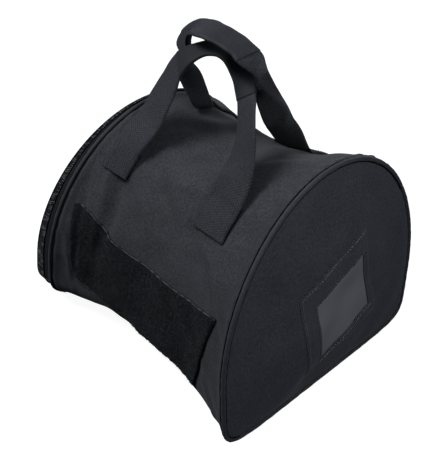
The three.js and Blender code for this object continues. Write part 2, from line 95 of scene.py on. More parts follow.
BACK_HANDLE = {
    "lean": -22,
    "sewn_width": (-28, 38),
    "sewn_left": [(-60.5, 46), (-60.5, 52), (-60.5, 58), (-60, 64)],
    "free": [
        ((-67, 29, 212.5), (-58.5, 37, 207.5), (-50, 44, 201)),
        ((-36.5, 7, 211.5), (-37.5, 20, 208), (-38, 33, 204)),
        ((-46.1, 2, 231.1), (-47, 17, 226.8), (-47.8, 32, 222.5)),
        ((-50.8, 0, 244.7), (-51.2, 14, 241), (-51.6, 28, 237.3)),
        (-53, 12, 257, 34, 18), (-49.5, 12, 267, 29, 28),
        (-37.5, 7, 280.5, 24, 66),
        (-13, -4.5, 293, 24, 96), (9, -9, 295, 25, 100), (23, -7, 292, 24, 102),
        (36.5, -6, 287.5, 24, 102), (47.5, -5.5, 281, 24, 96),
        ((54.6, -6.8, 268), (55.6, -6.2, 268.6), (61.2, 0, 274.1)),
        ((45.5, 3, 250), (59.4, -4, 261.6), (61.6, 6, 264.5)),
        ((47.5, 2, 243), (61.3, 4, 253.4), (59.3, 15, 253.1)),
        ((48, 11.5, 222.1), (66.5, 17.5, 238), (60.3, 26.5, 235.1)),
        ((43.4, 22, 211.2), (62.8, 22, 216.8), (78.6, 25, 220.3)),
    ],
    "sewn_right": [(63.5, 71), (65, 64), (67, 57), (69, 50)],
    "grip": (9, 14.7),
}

# Front panel edges (x, z) and pocket corners (u across the end, v up it), clockwise from the top left
PANEL_TOP = [(-81.5, 137), (-59, 129), (-48, 115.5), (-4, 105), (41, 103.5), (73.5, 106), (115, 115.5)]
PANEL_FOOT = [(-85, 56), (-67, 45), (-53, 40), (-9, 33), (34, 29.5), (61, 28.5), (93, 29.5)]
POCKET = [(-47, 116), (35, 152), (65, 49), (-33, 27)]
WINDOW = [(-25, 99), (34, 124), (50, 62), (-15, 38)]


# Surfaces

def signed_power(value, power):
    return np.sign(value) * np.abs(value) ** power


# D-shaped outline: u across and v up, at angle t from the back
def outline(t, inset=0.0, foot=FOOT_POWER):
    up = np.sin(t)
    power = np.where(up >= 0, 2 / TOP_POWER, 2 / foot)
    rise = np.where(up >= 0, END_HEIGHT - WIDEST_AT - inset, WIDEST_AT - inset)
    u = (END_WIDTH / 2 - inset) * signed_power(np.cos(t), power)
    return u, WIDEST_AT + rise * signed_power(up, power)


# Point u across and v up an end's leaning plane, moved outwards
def plane_point(rim, u, v, outwards=0.0):
    lean = np.radians(rim["lean"])
    side = rim["side"]
    x = side * (rim["x"] - np.sin(lean) * v + np.cos(lean) * outwards)
    z = FLOOR_LIFT + np.cos(lean) * v + np.sin(lean) * outwards
    return np.stack(np.broadcast_arrays(x, u, z), -1)


def rim_point(rim, t, inset=0.0):
    return plane_point(rim, *outline(t, inset, rim["foot"]))


# Sleeve surface: along runs from the left rim to the right one, t round from the back
def body_point(along, t):
    along, t = np.broadcast_arrays(along, t)
    share = along[..., None]
    point = rim_point(LEFT_RIM, t) * (1 - share) + rim_point(RIGHT_RIM, t) * share
    dy = point[..., 1]
    dz = point[..., 2] - WAIST["centre"] - FLOOR_LIFT
    reach = np.hypot(dy, dz)
    cy, cz = dy / reach, dz / reach
    across = np.where(cy < 0, WAIST["front"], WAIST["back"])
    upright = np.where(cz < 0, WAIST["bottom"], WAIST["top"])
    depth = (cy ** 2 * across + cz ** 2 * upright) * (1 - np.abs(2 * along - 1) ** WAIST["power"])
    for place, deg, deep, length, spread in DENTS:
        a = (along - place) / length
        d = (np.degrees(t) - deg) / spread
        depth = depth + deep * np.exp(-a ** 2 - d ** 2)
    return point - np.stack([np.zeros_like(depth), depth * cy, depth * cz], -1)


def unit(vectors):
    return vectors / np.linalg.norm(vectors, axis=-1, keepdims=True)


def body_normal(along, t):
    step = 1e-3
    lengthways = body_point(along + step, t) - body_point(along - step, t)
    around = body_point(along, t + step) - body_point(along, t - step)
    return unit(np.cross(around, lengthways))


def along_at(x, t):
    left, right = (rim_point(rim, t)[..., 0] for rim in (LEFT_RIM, RIGHT_RIM))
    return (x - left) / (right - left)


# Angle on the front at which the sleeve passes height z, found by halving
def front_angle(x, z):
    high, low = (np.full(np.shape(x), np.radians(deg)) for deg in (100.0, 250.0))
    for _ in range(40):
        middle = (high + low) / 2
        above = body_point(along_at(x, middle), middle)[..., 2] > z
        high = np.where(above, middle, high)
        low = np.where(above, low, middle)
    return (high + low) / 2


# Smooth noise of about unit height: waves of about one size in random directions
def ripple(points, size, count, seed):
    draw = np.random.default_rng(seed)
    total = np.zeros(points.shape[:-1])
    for _ in range(count):
        way = unit(draw.normal(size=3))
        wave = size * draw.uniform(0.75, 1.4)
        total = total + np.sin(TAU * (points @ way) / wave + draw.uniform(0, TAU))
    return total / np.sqrt(count / 2)


# Ripples added up, by height, size, number of waves and seed
def ripples(points, rows):
    return sum(height * ripple(points, size, count, seed) for height, size, count, seed in rows)


def ring_turns(count):
    return np.arange(count) * TAU / count


# Length run along a line of points, at each of them
def run_lengths(points):
    return np.concatenate([[0.0], np.cumsum(np.linalg.norm(np.diff(points, axis=0), axis=-1))])


# Angles at equal steps of length round the outline, from the middle of the base
def ring_angles(count, inset=0.0, first=-90.0, last=270.0):
    dense = np.radians(np.linspace(first, last, 20001))
    length = run_lengths(np.stack(outline(dense, inset), -1))
    places = np.linspace(0, length[-1], count, endpoint=last - first < 360)
    return np.interp(places, length, dense), length[-1]


# Soft folds of the sleeve: place along it and angle round it at each end, height and half width
FOLDS = [
    (0.1, 126, 0.17, 172, 1.5, 4.5), (0.14, 124, 0.235, 164, -1.6, 5), (0.06, 140, 0.1, 190, -1.2, 3.5),
    (0.03, 160, 0.11, 200, 1.1, 3.5), (0.3, 134, 0.42, 150, 1.1, 6), (0.36, 128, 0.52, 140, -1.2, 6),
    (0.2, 112, 0.34, 96, 1.2, 6), (0.4, 112, 0.6, 106, -1.3, 7), (0.44, 124, 0.62, 122, 1.2, 6),
    (0.7, 140, 0.9, 158, 1.2, 5), (0.74, 144, 0.95, 170, -1.2, 5), (0.86, 112, 0.985, 122, -1, 3),
    (0.88, 105, 0.985, 112, -1, 2.6), (0.87, 120, 0.98, 133, 0.9, 3), (0.7, 104, 0.9, 92, 1.2, 6),
    (0.84, 178, 0.94, 200, 1.1, 5),
]
# Sleeve's length and its girth for each degree
FOLD_LENGTH, FOLD_GIRTH = 232.0, 2.1
# How far a crease bows, and how far each way it holds before it fades, as shares of its length
CREASE_BOW, CREASE_HOLDS, CREASE_FADE = 0.06, 0.3, 0.03


# Height among creases, each given by its two ends, height and half width
def crease_push(x, y, creases):
    total = 0 * (x + y)
    for x0, y0, x1, y1, height, half in creases:
        dx, dy = x1 - x0, y1 - y0
        reach = np.hypot(dx, dy)
        run = ((x - x0) * dx + (y - y0) * dy) / reach ** 2
        off = ((x - x0) * dy - (y - y0) * dx) / reach
        bend = off - CREASE_BOW * reach * np.sin(np.pi * np.clip(run, 0, 1))
        ends = np.exp(-np.clip(np.abs(run - 0.5) - CREASE_HOLDS, 0, None) ** 2 / CREASE_FADE)
        total = total + height * ends * np.exp(-(bend / half) ** 2)
    return total


# Unevenness of the sleeve: ripples all over, and puckers, a roll and a dip beside the rims
BODY_RIPPLES = [(1.05, 75, 9, 1), (0.52, 30, 12, 2)]
FOLD_SHARE, CALM_WIDTH = 1.3, 14
PUCKER_START, PUCKER_FADE, PUCKER_STRETCH, PUCKER_RIPPLES = 3, 9, [0.2, 1, 1], [(0.45, 11, 10, 3)]
ROLL_HEIGHT, ROLL_MIDDLE, ROLL_HALF, ROLL_ABOVE = 1.5, 5.5, 3.2, 14
DIP_DEPTH, DIP_HALF = 1.5, 2.2


# Push of the sleeve's cloth off its plain form
def body_push(along, t, point):
    length = np.linalg.norm(rim_point(RIGHT_RIM, t) - rim_point(LEFT_RIM, t), axis=-1)
    from_rim = np.minimum(along, 1 - along) * length
    calm = 1 - np.exp(-(from_rim / CALM_WIDTH) ** 2)
    folds = np.array(FOLDS) * [FOLD_LENGTH, FOLD_GIRTH, FOLD_LENGTH, FOLD_GIRTH, 1, 1]
    fold = crease_push(along * FOLD_LENGTH, np.degrees(t) * FOLD_GIRTH, folds)
    push = calm * ripples(point, BODY_RIPPLES) + FOLD_SHARE * fold
    pucker = ripples(point * PUCKER_STRETCH, PUCKER_RIPPLES)
    pucker = pucker * np.exp(-from_rim / PUCKER_FADE) * (1 - np.exp(-(from_rim / PUCKER_START) ** 2))
    roll = ROLL_HEIGHT * np.exp(-((from_rim - ROLL_MIDDLE) / ROLL_HALF) ** 2)
    roll = roll * np.where(point[..., 2] > ROLL_ABOVE, 1, 0)
    return push + pucker + roll - DIP_DEPTH * np.exp(-(from_rim / DIP_HALF) ** 2)


# Sleeve surface with its unevenness, lifted off the cloth
def dressed_body(along, t, lift=0.0):
    point = body_point(along, t)
    push = body_push(along, t, point) + lift
    return point + body_normal(along, t) * push[..., None]


# Share of the way from the middle of an end to its rim
def share_out(u, v, inset, foot):
    rise = np.where(v >= WIDEST_AT, END_HEIGHT - WIDEST_AT - inset, WIDEST_AT - inset)
    power = np.where(v >= WIDEST_AT, TOP_POWER, foot)
    across = np.abs(u / (END_WIDTH / 2 - inset))
    upright = np.abs((v - WIDEST_AT) / rise)
    return (across ** power + upright ** power) ** (1 / power)


# Unevenness of an end cloth: ripples that fade at the rim, and creases like the sleeve's folds
END_RIPPLES = [(1.3, 85, 8, 11), (0.55, 34, 10, 12)]
END_CALM_POWER = 6
END_CREASES = [
    (90, 172, 40, 160, -1.0, 3.2), (96, 160, 52, 152, 0.8, 4.2), (102, 128, 76, 104, -0.6, 4.0),
]


# Surface of an end cloth at u across and v up, lifted off it
def end_point(rim, cloth, u, v, lift=0.0):
    share = share_out(u, v, cloth["inset"], rim["foot"])
    flat = np.stack(np.broadcast_arrays(u, v, rim["x"] + 0 * u), -1)
    calm = np.clip(1 - share ** END_CALM_POWER, 0, 1)
    push = calm * (ripples(flat, END_RIPPLES) + crease_push(u, v, END_CREASES))
    outwards = cloth["axial"] + cloth["swell"] * (1 - share ** 2) + push + lift
    return plane_point(rim, u, v, outwards)


# Meshes

def grid_faces(rows, columns, wrap_rows=False, wrap_columns=False):
    i, j = np.indices((rows - (not wrap_rows), columns - (not wrap_columns)))
    corners = [(i, j), (i, j + 1), (i + 1, j + 1), (i + 1, j)]
    points = [(r % rows) * columns + c % columns for r, c in corners]
    wide = columns + bool(wrap_columns)
    places = [r * wide + c for r, c in corners]
    return np.stack(points, -1).reshape(-1, 4), np.stack(places, -1).reshape(-1, 4)


def signed_volume(points, faces):
    a, b, c, d = (points[faces[:, k]] for k in range(4))
    return np.sum(a * np.cross(b, c)) + np.sum(a * np.cross(c, d))


# Smooth mesh with its texture places
def mesh_object(name, points, faces, uv, uv_faces, finish):
    mesh = bpy.data.meshes.new(name)
    mesh.from_pydata((points * MM).tolist(), [], faces)
    layer = mesh.uv_layers.new(name="UVMap")
    layer.data.foreach_set("uv", (uv[np.concatenate(uv_faces)] * MM).ravel())
    mesh.polygons.foreach_set("use_smooth", np.full(len(faces), True))
    mesh.materials.append(MATERIALS[finish])
    mesh.update()
    obj = bpy.data.objects.new(name, mesh)
    bpy.context.collection.objects.link(obj)
    return obj


# A cloth of two like grids of points, closed along its open edges; a ring's columns meet
def cloth(name, outer, inner, uv, finish, ring=False):
    rows, columns = outer.shape[:2]
    count, wide = rows * columns, columns + ring
    points = np.concatenate([outer.reshape(-1, 3), inner.reshape(-1, 3)])
    faces, places = grid_faces(rows, columns, wrap_columns=ring)
    quads, flats = [faces, faces[:, ::-1] + count], [places, places[:, ::-1]]
    across, down = np.arange(wide - 1), np.arange(rows - 1)
    sides = [(0, across, 0, 1, 1), (rows - 1, across, 0, 1, -1)]
    if not ring:
        sides += [(down, 0, 1, 0, -1), (down, columns - 1, 1, 0, 1)]
    for row, column, row_step, column_step, turn in sides:
        ends = ((row, column), (row + row_step, column + column_step))
        here, after = (r * columns + c % columns for r, c in ends)
        flat_here, flat_after = (r * wide + c for r, c in ends)
        quads.append(np.stack([here, here + count, after + count, after], -1)[:, ::turn])
        flats.append(np.stack([flat_here, flat_here, flat_after, flat_after], -1)[:, ::turn])
    quads, flats = np.concatenate(quads), np.concatenate(flats)
    if signed_volume(points, quads) < 0:
        quads, flats = quads[:, ::-1], flats[:, ::-1]
    return mesh_object(name, points, quads.tolist(), uv.reshape(-1, 2), flats.tolist(), finish)


# A tube through like rings of points, filled at its ends or closed on itself
def tube_parts(sections, closed=False):
    rows, columns = sections.shape[:2]
    faces, places = grid_faces(rows, columns, wrap_rows=closed, wrap_columns=True)
    points = sections.reshape(-1, 3)
    middle = sections.mean(1)
    u = run_lengths(np.append(sections[0], sections[0][:1], 0))
    v = run_lengths(np.append(middle, middle[:1], 0) if closed else middle)
    uv = np.stack(np.meshgrid(u, v), -1).reshape(-1, 2)
    turn = -1 if signed_volume(points, faces) < 0 else 1
    faces, places = faces[:, ::turn].tolist(), places[:, ::turn].tolist()
    if not closed:
        first = np.arange(columns)
        for row, way in ((0, -turn), (rows - 1, turn)):
            faces.append((row * columns + first)[::way].tolist())
            places.append((row * (columns + 1) + first)[::way].tolist())
    return points, faces, uv, places


def tube(name, sections, finish, closed=False):
    return mesh_object(name, *tube_parts(sections, closed), finish)


def join_parts(name, parts, finish):
    points, faces, uv, places = [], [], [], []
    start = flat = 0
    for part_points, part_faces, part_uv, part_places in parts:
        points.append(part_points)
        uv.append(part_uv)
        faces += [[k + start for k in face] for face in part_faces]
        places += [[k + flat for k in face] for face in part_places]
        start += len(part_points)
        flat += len(part_uv)
    return mesh_object(name, np.concatenate(points), faces, np.concatenate(uv), places, finish)


# One small shape copied to many places, each with its scaled axes
def copies(name, shape, origins, axes, finish):
    points, *rest = shape
    return join_parts(name, [(place + points @ ways, *rest) for place, ways in zip(origins, axes)], finish)


# Rod of unit length and radius along its first axis, bowed along its third
def rod_shape(bow, sides=6):
    along = [-0.5, -0.44, -0.2, 0.2, 0.44, 0.5]
    radius = [0.35, 0.85, 1.0, 1.0, 0.85, 0.35]
    turn = ring_turns(sides)
    rings = [
        np.stack([0 * turn + a, r * np.cos(turn), r * np.sin(turn) + bow * (1 - (2 * a) ** 2)], -1)
        for a, r in zip(along, radius)
    ]
    return tube_parts(np.array(rings))


# Materials

MATERIALS = {}


def node_material(name, color, roughness, **sockets):
    material = bpy.data.materials.new(name)
    material.use_nodes = True
    shader = material.node_tree.nodes["Principled BSDF"]
    shader.inputs["Base Color"].default_value = (*color, 1)
    shader.inputs["Roughness"].default_value = roughness
    for socket, value in sockets.items():
        shader.inputs[socket.replace("_", " ")].default_value = value
    MATERIALS[name] = material
    return material.node_tree, shader


# Adds shader nodes to a tree and links them
class Nodes:
    def __init__(self, tree):
        self.tree = tree

    def add(self, kind, **values):
        node = self.tree.nodes.new(kind)
        for key, value in values.items():
            setattr(node, key, value)
        return node

    def link(self, a, b):
        self.tree.links.new(a, b)

    def math(self, operation, *values):
        node = self.add("ShaderNodeMath", operation=operation)
        for socket, value in zip(node.inputs, values):
            if isinstance(value, (int, float)):
                socket.default_value = value
            else:
                self.link(value, socket)
        return node.outputs[0]

    def split(self, kind):
        node = self.add("ShaderNodeSeparateXYZ")
        self.link(self.add("ShaderNodeTexCoord").outputs[kind], node.inputs[0])
        return node.outputs

    def noise(self, size_mm, detail=2.0):
        node = self.add("ShaderNodeTexNoise")
        node.inputs["Scale"].default_value = 1 / (size_mm * MM)
        node.inputs["Detail"].default_value = detail
        self.link(self.add("ShaderNodeTexCoord").outputs["Object"], node.inputs["Vector"])
        return node.outputs["Fac"]

    def wave(self, coordinate, pitch_mm):
        return self.math("SINE", self.math("MULTIPLY", coordinate, TAU / (pitch_mm * MM)))


# A cloth's grain, mottling and relief
GRAIN_SIZE, MOTTLE_SIZE, MOTTLE_DETAIL, RELIEF_DEPTH, MOTTLE = 1.7, 28, 3.0, 0.2, 0.48


# Woven cloth: threads each way, an uneven grain and broad mottling
def woven(name, color, pitch, grain, thread=0.25, roughness=0.85, bump=0.35, sheen=0.08):
    sockets = {"Sheen_Weight": sheen, "Sheen_Roughness": 0.5, "Specular_IOR_Level": 0.25}
    tree, shader = node_material(name, color, roughness, **sockets)
    nodes = Nodes(tree)
    u, v, _ = nodes.split("UV")
    threads = nodes.math("MULTIPLY", nodes.wave(u, pitch[0]), nodes.wave(v, pitch[1]))
    fine = nodes.math("SUBTRACT", nodes.noise(GRAIN_SIZE), 0.5)
    broad = nodes.math("SUBTRACT", nodes.noise(MOTTLE_SIZE, MOTTLE_DETAIL), 0.5)
    tone = 1.0
    for part, share in ((threads, thread), (fine, grain), (broad, MOTTLE)):
        tone = nodes.math("ADD", tone, nodes.math("MULTIPLY", part, share))
    scale = nodes.add("ShaderNodeVectorMath", operation="SCALE")
    scale.inputs[0].default_value = color
    nodes.link(tone, scale.inputs["Scale"])
    nodes.link(scale.outputs[0], shader.inputs["Base Color"])
    height = nodes.math("ADD", nodes.math("MULTIPLY", threads, 0.5), fine)
    relief = nodes.add("ShaderNodeBump")
    relief.inputs["Strength"].default_value = bump
    relief.inputs["Distance"].default_value = RELIEF_DEPTH * MM
    nodes.link(height, relief.inputs["Height"])
    nodes.link(relief.outputs[0], shader.inputs["Normal"])


woven("body_cloth", (0.0342, 0.0361, 0.0428), (1.1, 1.1), 2.0)
# End cloth: its tone is raised above the sleeve's, as painted light standing in for light that falls on the
# ends
woven("end_cloth", (0.0415, 0.0450, 0.0575), (1.5, 1.5), 1.7, thread=0.3)
woven("piping_cloth", (0.036, 0.038, 0.047), (1.0, 1.0), 0.8, roughness=0.75)
woven("webbing", (0.0255, 0.0272, 0.0335), (3.0, 2.4), 1.8, thread=0.55, bump=0.8)
# Lit and shaded copies of one wrap cloth: the front grip's is painted darker as painted shade, the back
# grip's lighter as painted light
woven("wrap_cloth_front_shaded", (0.0098, 0.0118, 0.0160), (0.9, 0.9), 1.2, roughness=0.7)
woven("wrap_cloth_back_lit", (0.0215, 0.0240, 0.0300), (0.9, 0.9), 1.4, roughness=0.6)
woven("zip_tape", (0.0052, 0.0058, 0.0084), (1.2, 2.2), 0.6, thread=0.3, sheen=0.02)
woven("loop_pile", (0.0036, 0.0043, 0.0074), (1.4, 1.4), 2.4, roughness=0.95, bump=1.0, sheen=0.05)
woven("loop_tuft", (0.062, 0.067, 0.085), (1.4, 1.4), 2.4, roughness=0.9, bump=0.4, sheen=0.05)
woven("pocket_cloth", (0.0465, 0.0495, 0.0610), (1.1, 1.1), 1.3)
node_material("zip_coil", (0.0085, 0.0092, 0.0125), 0.5, Specular_IOR_Level=0.3)
# Painted highlight: a lighter copy of the coil's colour for the teeth that stand for glints, partly backed by
# a glossier finish
node_material("zip_painted_glint", (0.082, 0.086, 0.098), 0.35, Specular_IOR_Level=0.5)
node_material("slider_metal", (0.02, 0.02, 0.022), 0.35, Metallic=0.7)
node_material("window_pvc", (0.168, 0.173, 0.190), 0.85, Specular_IOR_Level=0.08)
node_material("thread", (0.018, 0.0185, 0.022), 0.6)
node_material("dim_thread", (0.085, 0.088, 0.098), 0.6)
# Painted highlight: a pale copy of the pocket thread's colour, for stitches that stand for glints
node_material("thread_painted_glint", (0.20, 0.206, 0.225), 0.55)
# Painted shade: a near-black colour for tubes that stand for shade in grooves and under sewn strap ends
node_material("seam_shade", (0.0025, 0.0026, 0.0036), 0.9, Specular_IOR_Level=0.1)
woven("panel_edge", (0.070, 0.073, 0.084), (1.6, 1.6), 0.9)


# Keep a piece: it rides on the root body, and the solids it stands for are hidden; its slot is not used
def keep(piece, slot, *nodes):
    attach(piece, "root")
    if nodes:
        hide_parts(*nodes)


# Sleeve: its length, the gap left at each rim, and its length in the weave
SLEEVE_LENGTH, SLEEVE_GAP, SLEEVE_WEAVE = 211.6, 1.2, 240


def body_cloth():
    t, round_length = ring_angles(320)
    margin = SLEEVE_GAP / SLEEVE_LENGTH
    along = np.linspace(margin, 1 - margin, 120)
    a, angle = np.meshgrid(along, t, indexing="ij")
    outer = dressed_body(a, angle)
    inner = outer - body_normal(a, angle) * WALL
    uv = np.stack(np.meshgrid(np.linspace(0, round_length, len(t) + 1), along * SLEEVE_WEAVE), -1)
    return cloth("body_cloth", outer, inner, uv, "body_cloth", ring=True)


# Innermost rings of an end, as shares of the way out, and its reach under the piping
END_MIDDLE, END_TUCK = [0.0008, 0.0024], 0.6


def end_cloth(name, rim, shape):
    t, _ = ring_angles(300, shape["inset"])
    shares = np.concatenate([END_MIDDLE, np.linspace(0.03, 1, 56)])
    share, angle = np.meshgrid(shares, t, indexing="ij")
    u, v = outline(angle, shape["inset"] - END_TUCK, rim["foot"])
    u, v = u * share, WIDEST_AT + (v - WIDEST_AT) * share
    outer = end_point(rim, shape, u, v)
    inner = end_point(rim, shape, u, v, -WALL)
    uv = np.stack([u, v], -1)
    uv = np.concatenate([uv, uv[:, :1]], 1)
    return cloth(name, outer, inner, uv, "end_cloth", ring=True)


def end_way(rim):
    lean = np.radians(rim["lean"])
    return np.array([rim["side"] * np.cos(lean), 0, np.sin(lean)])


# Rings of points round a path, from two ways across it
def cord_rings(path, first, second, radius, count):
    turn = ring_turns(count)[:, None]
    ring = first[:, None] * np.cos(turn) + np.broadcast_to(second, path.shape)[:, None] * np.sin(turn)
    return path[:, None] + ring * np.broadcast_to(radius, len(path))[:, None, None]


def piping(name, rim):
    t, _ = ring_angles(420)
    centre = rim_point(rim, t)
    outwards = unit(centre - rim_point(rim, t, 1.0))
    radius = PIPING_RADIUS + ripples(centre, PIPING_RIPPLES)
    sections = cord_rings(centre, outwards, end_way(rim), radius, 14)
    sections[..., 2] = np.maximum(sections[..., 2], 0)
    return tube(name, sections, "piping_cloth", closed=True)


# Painted shade: a dark tube in the groove beside a cord, standing in for the groove's shade: how far out and
# inwards of its middle it lies, and from and to which angle
def groove_shade_line(name, rim, outwards_by, drawn_in, first=-90.0, last=270.0):
    t, _ = ring_angles(420, 0.0, first, last)
    centre = rim_point(rim, t)
    inwards = unit(rim_point(rim, t, 1.0) - centre)
    out = end_way(rim)
    path = centre + out * outwards_by + inwards * drawn_in
    sections = cord_rings(path, -inwards, out, GROOVE_SHADE_RADIUS, 8)
    sections[..., 2] = np.maximum(sections[..., 2], GROOVE_SHADE_FLOOR)
    return tube(name, sections, "seam_shade", closed=last - first == 360)


# Zip, at a share of the way from the piping to the door
def zip_point(share, t, inset=0.0):
    share = np.asarray(share)[..., None]
    return rim_point(LEFT_RIM, t, inset) * (1 - share) + rim_point(DOOR_RIM, t, inset) * share


def zip_way(share, t):
    return unit(zip_point(share, t + 1e-3) - zip_point(share, t - 1e-3))


# A strip's points across and along, crown and depth under the rims, and the zip's width in the weave
STRIP_ACROSS, STRIP_ALONG, STRIP_CROWN, STRIP_DEPTH, ZIP_WEAVE = 9, 360, 0.25, 0.3, 24.0


def zip_strip(name, start, end, first, last, thick, finish, inset=0.0):
    t, length = ring_angles(STRIP_ALONG, 0.0, first, last)
    shares = np.linspace(start, end, STRIP_ACROSS)
    share, angle = np.meshgrid(shares, t, indexing="ij")
    crown = STRIP_CROWN * (1 - np.linspace(-1, 1, STRIP_ACROSS) ** 4)[:, None]
    outer = zip_point(share, angle, inset + STRIP_DEPTH - crown)
    inner = zip_point(share, angle, inset + thick)
    uv = np.stack(np.meshgrid(np.linspace(0, length, STRIP_ALONG), shares * ZIP_WEAVE), -1)
    return cloth(name, outer, inner, uv, finish)


# Teeth: shares of the strip between which they lie, and each rod's place and length as shares of that
TEETH, TEETH_PITCH, GLINT_TEETH, TEETH_GAP_DEG, TEETH_DEPTH = (0.5, 0.93), 2.2, 0.34, 0.6, 0.6
ROD_PLACE, ROD_LENGTH, ROD_WIDE, ROD_HIGH, ROD_BOW = 0.21, 0.56, 0.55, 0.75, 0.4


# Coil of the zip: two rows of rods, of which a random share get a lighter colour as painted highlights
# (glints)
def zip_teeth(name, finish, painted_glint):
    first, last = ZIP_BACK_DEG + TEETH_GAP_DEG, ZIP_FRONT_DEG - TEETH_GAP_DEG
    dense, length = ring_angles(4000, 0.0, first, last)
    count = int(length / TEETH_PITCH)
    share = sum(TEETH) / 2
    draw = np.random.default_rng(61)
    origins, axes = [], []
    for side in (-1, 1):
        place = (np.arange(count) + 0.5 + 0.25 * side) / count
        t = np.interp(place, np.linspace(0, 1, len(dense)), dense)
        across = zip_point(TEETH[1], t) - zip_point(TEETH[0], t)
        wide = np.linalg.norm(across, axis=-1, keepdims=True)
        tangent = zip_way(share, t)
        across = across / wide
        out = unit(np.cross(across, tangent))
        middle = zip_point(share, t, TEETH_DEPTH) + across * wide * ROD_PLACE * side
        rods = np.stack([across * wide * ROD_LENGTH, tangent * ROD_WIDE, out * ROD_HIGH], 1)
        chosen = (draw.uniform(size=count) < GLINT_TEETH) == painted_glint
        origins.extend(middle[chosen])
        axes.extend(rods[chosen])
    return copies(name, rod_shape(ROD_BOW), origins, axes, finish)


def rounded(width, length, corner):
    points = []
    for cx, cy, start in ((1, 1, 0), (-1, 1, 90), (-1, -1, 180), (1, -1, 270)):
        turn = np.radians(np.linspace(start, start + 90, 6))
        x = cx * (width / 2 - corner) + corner * np.cos(turn)
        y = cy * (length / 2 - corner) + corner * np.sin(turn)
        points.append(np.stack([x, y], -1))
    return np.concatenate(points)


# Slider's share of the way to the door; its plates' width, length, corner, place, two faces and bevel
SLIDER_SHARE = 0.76
SLIDER_PLATES = [
    (10, 12, 2.5, 0, 0.4, 1.5, 0.3),
    (3.2, 10, 1.2, 0, 1.4, 2.9, 0.4),
    (5.5, 22, 2.4, -18.5, 1.6, 2.9, 0.35),
    (4.2, 3.2, 1.2, -7.2, 1.3, 3.2, 0.4),
]


def slider():
    across = unit(zip_point(1.0, 0.0) - zip_point(0.0, 0.0))
    out = unit(np.cross(across, zip_way(SLIDER_SHARE, 0.0)))
    axes = np.stack([across, np.cross(out, across), out])
    origin = zip_point(SLIDER_SHARE, 0.0)
    parts = []
    for width, length, corner, place, low, high, bevel in SLIDER_PLATES:
        flat = rounded(width, length, corner)
        shrink = 1 - bevel / np.abs(flat).max()
        rings = []
        for height, scale in ((low, shrink), (low + bevel, 1), (high - bevel, 1), (high, shrink)):
            ring = np.column_stack([flat * scale + [0, place], np.full(len(flat), height)])
            rings.append(origin + ring @ axes)
        parts.append(tube_parts(np.array(rings)))
    return join_parts("slider", parts, "slider_metal")


# Handles

# Curve through the rows as the solids have it, with places counted in rows
def row_curve(points, places):
    ends = np.concatenate([[2 * points[0] - points[1]], points, [2 * points[-1] - points[-2]]])
    k = np.minimum(places.astype(int), len(points) - 2)
    w = (places - k)[:, None]
    x0, x1, x2, x3 = ends[k], ends[k + 1], ends[k + 2], ends[k + 3]
    pairs = ((x0, x1), (x1, x2), (x2, x3))
    d0, d1, d2 = (np.linalg.norm(b - a, axis=-1, keepdims=True) ** 0.5 for a, b in pairs)
    t1 = ((x1 - x0) / d0 - (x2 - x0) / (d0 + d1) + (x2 - x1) / d1) * d1
    t2 = ((x2 - x1) / d1 - (x3 - x1) / (d1 + d2) + (x3 - x2) / d2) * d1
    c2 = 3 * (x2 - x1) - 2 * t1 - t2
    c3 = 2 * (x1 - x2) + t1 + t2
    point = x1 + t1 * w + c2 * w ** 2 + c3 * w ** 3
    tangent = unit(t1 + 2 * c2 * w + 3 * c3 * w ** 2)
    return point, tangent


# Lift of a sewn strap, waver of a strap's edges, and how soft a crease is
SEWN_LIFT, STRAP_RIPPLES, CREASE_SOFT = 0.5, [(0.18, 16, 8, 31)], 0.2


# Rows of a handle: the strap's inner edge, its middle where it may be creased, and its outer edge
def handle_rows(handle):
    lean = np.radians(handle["lean"])
    front = np.array([0, -np.cos(lean), np.sin(lean)])
    turn = 1 if handle["lean"] > 0 else -1
    rows = []
    creased = {}

    def sewn(places, width):
        for x, deg in places:
            t = np.radians(float(deg))
            along = along_at(float(x), t)
            middle = dressed_body(along, t, SEWN_LIFT + STRAP_THICK / 2)
            rows.append((middle, turn * body_normal(along, t), width, 0.0))

    sewn(handle["sewn_left"], handle["sewn_width"][0])
    for place in handle["free"]:
        if len(place) == 3:
            inner, crease, outer = np.array(place, float)
            creased[len(rows)] = (inner, outer)
            rows.append((crease, front, 0.0, 0.0))
        else:
            rows.append((np.array(place[:3], float), front, place[3], place[4]))
    sewn(handle["sewn_right"], handle["sewn_width"][1])
    middles, faces, widths, twists = (np.array(column) for column in zip(*rows))
    _, tangent = row_curve(middles, np.arange(len(middles), dtype=float))
    across = unit(np.cross(faces, tangent))
    twist = np.radians(twists)[:, None]
    half = across * np.cos(twist) - np.cross(tangent, across) * np.sin(twist)
    half = half * widths[:, None] / 2
    inner, outer = middles - half, middles + half
    for k, edges in creased.items():
        inner[k], outer[k] = edges
    return inner, middles, outer


def handle_frames(handle, first, last, per_row):
    places = np.linspace(first, last, int(abs(last - first) * per_row) + 1)
    (inner, _), (middle, tangent), (outer, _) = (row_curve(line, places) for line in handle_rows(handle))
    return inner, middle, outer, tangent


def last_row(handle):
    return len(handle_rows(handle)[1]) - 1


# Ring round a strap with soft edges: places across and through it, -1 to 1
def strap_ring(puff=0.0):
    across = np.linspace(-1, 1, 17)
    x = np.where(np.abs(across) == 1, across * 0.988, across)
    y = np.where(np.abs(across) == 1, 0.6, 1 + puff * (1 - across ** 2))
    return np.concatenate([x, [1], x[::-1], [-1]]), np.concatenate([y, [0], -y[::-1], [0]])


# Ways out to the strap's two edges, and the ways its two halves face
def strap_ways(frames):
    inner, middle, outer, tangent = frames
    to_inner, to_outer = unit(inner - middle), unit(outer - middle)
    return to_inner, to_outer, unit(np.cross(to_inner, tangent)), unit(np.cross(tangent, to_outer))


